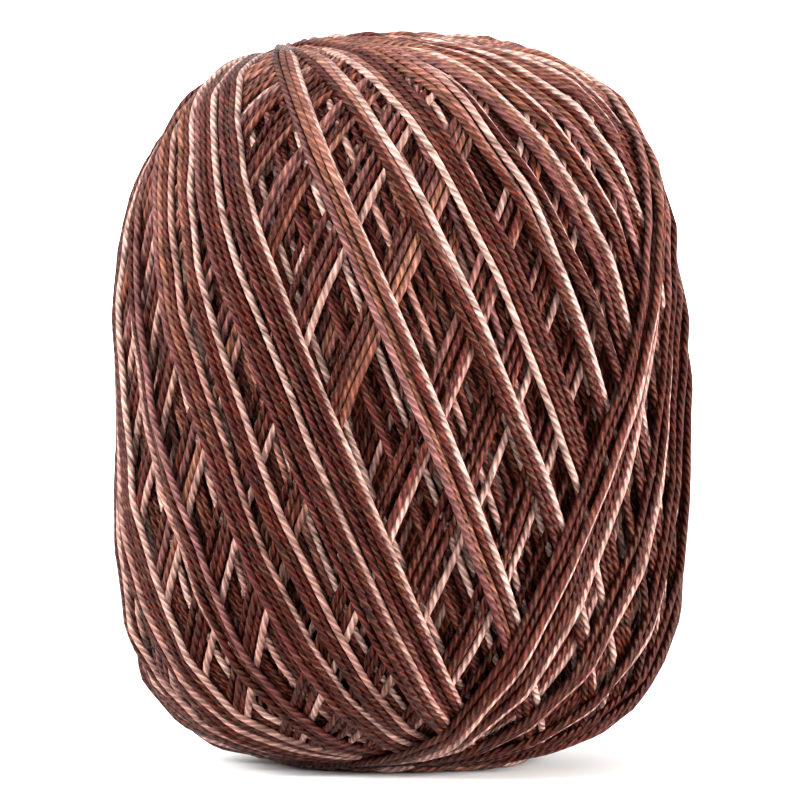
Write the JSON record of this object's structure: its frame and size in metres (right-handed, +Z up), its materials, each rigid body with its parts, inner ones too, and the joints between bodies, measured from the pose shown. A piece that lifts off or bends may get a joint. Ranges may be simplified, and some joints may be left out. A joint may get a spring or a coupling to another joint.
{
  "type": "ball of cotton crochet thread",
  "caption": "Barrel-shaped ball of space-dyed cotton crochet thread in browns and pinks, wound in crossing bands round an open core hole.",
  "frame": {"origin": "under the middle of the ball, on the surface that it rests on", "axes": "+Z up along the core hole, -Y towards the viewer of the front, +X to the right"},
  "size_m": [0.0802, 0.0802, 0.1],
  "materials": {
    "cotton": "soft, plied mercerised cotton"
  },
  "bodies": {
    "root": {"ball": "cotton"}
  },
  "joints": []
}
